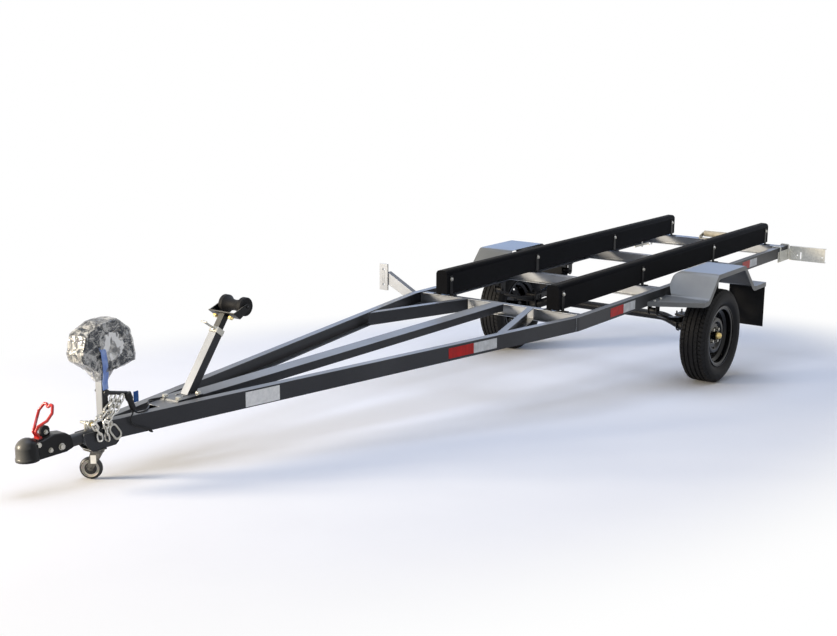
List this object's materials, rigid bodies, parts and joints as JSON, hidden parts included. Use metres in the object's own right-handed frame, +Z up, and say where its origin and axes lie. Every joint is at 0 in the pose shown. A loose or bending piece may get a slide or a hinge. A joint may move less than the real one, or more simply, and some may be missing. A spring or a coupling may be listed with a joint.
{
  "type": "boat trailer",
  "caption": "Single-axle boat trailer with a tapered channel frame, carpeted bunks, leaf springs, fenders, winch post, bow roller, keel roller and ball coupler, parked on a small caster.",
  "frame": {"origin": "on the ground, under the middle of the trailer's length and width", "axes": "+X forward to the coupler, +Y to the left, +Z up"},
  "size_m": [6.222, 1.684, 0.9102],
  "materials": {
    "black_rubber": "matte",
    "bunk_carpet": "matte",
    "caster_tread": "matte",
    "coupler_paint": "satin",
    "fender_paint": "satin",
    "frame_paint": "satin",
    "lever_paint": "gloss",
    "pale_roller": "matte",
    "plated_steel": "satin",
    "spring_paint": "satin",
    "tyre": "matte",
    "wheel_paint": "gloss",
    "winch_paint": "satin",
    "yellow_zinc": "satin"
  },
  "bodies": {
    "chassis": {"axle_beam": "spring_paint", "bow_stop_base": "frame_paint", "bow_stop_collar": "plated_steel", "bow_stop_post": "frame_paint", "bunk_brackets": "spring_paint", "bunk_left": "bunk_carpet", "bunk_right": "bunk_carpet", "caster_plate": "plated_steel", "centre_beam": "frame_paint", "coupler_housing": "coupler_paint", "coupler_lever": "lever_paint", "cross_member_front": "frame_paint", "cross_member_rear": "frame_paint", "cross_member_second": "frame_paint", "cross_member_third": "frame_paint", "diagonal_braces": "frame_paint", "fender_left": "fender_paint", "fender_right": "fender_paint", "keel_roller_bracket": "plated_steel", "leaf_spring_left": "spring_paint", "leaf_spring_right": "spring_paint", "light_bracket_left": "plated_steel", "light_bracket_right": "plated_steel", "mudflap_left": "black_rubber", "mudflap_right": "black_rubber", "side_rail_left": "frame_paint", "side_rail_right": "frame_paint", "spare_wheel_carrier": "frame_paint", "spring_clamps": "spring_paint", "spring_hangers": "spring_paint", "tail_bar": "coupler_paint", "tongue_box": "frame_paint", "tongue_tube": "frame_paint", "winch_drum": "winch_paint", "winch_frame": "winch_paint", "winch_post": "frame_paint"},
    "wheel_left": {"hub_left": "wheel_paint", "grease_cap_left": "yellow_zinc", "wheel_rim_left": "wheel_paint", "tyre_left": "tyre"},
    "wheel_right": {"hub_right": "wheel_paint", "grease_cap_right": "yellow_zinc", "wheel_rim_right": "wheel_paint", "tyre_right": "tyre"},
    "caster_swivel": {"caster_fork": "plated_steel"},
    "caster_wheel": {"caster_wheel": "caster_tread"},
    "bow_arm": {"bow_stop_arm": "coupler_paint", "bow_roller_yoke": "coupler_paint"},
    "bow_roller": {"bow_roller": "black_rubber"},
    "keel_roller": {"keel_roller": "pale_roller"}
  },
  "joints": [
    {"name": "wheel_left_spin", "type": "hinge", "parent": "chassis", "child": "wheel_left", "pos_m": [-1.37203, 0.718, 0.2875], "axis": [0, 1, 0], "continuous": true},
    {"name": "wheel_right_spin", "type": "hinge", "parent": "chassis", "child": "wheel_right", "pos_m": [-1.37203, -0.718, 0.2875], "axis": [0, 1, 0], "continuous": true},
    {"name": "caster_turn", "type": "hinge", "parent": "chassis", "child": "caster_swivel", "pos_m": [2.74583, 0, 0.11723], "axis": [0.0923, 0, 0.9957], "continuous": true},
    {"name": "caster_spin", "type": "hinge", "parent": "caster_swivel", "child": "caster_wheel", "pos_m": [2.75578, -0.02257, 0.045], "axis": [0.8025, 0.592, -0.0744], "continuous": true},
    {"name": "bow_arm_slide", "type": "slide", "parent": "chassis", "child": "bow_arm", "axis": [-0.5255, 0, 0.8508], "range_m": [-0.04, 0.08]},
    {"name": "bow_roller_spin", "type": "hinge", "parent": "bow_arm", "child": "bow_roller", "pos_m": [2.02571, 0, 0.62589], "axis": [0, 1, 0], "continuous": true},
    {"name": "keel_roller_spin", "type": "hinge", "parent": "chassis", "child": "keel_roller", "pos_m": [-3.03243, 0, 0.7934], "axis": [0, 1, 0], "continuous": true}
  ]
}
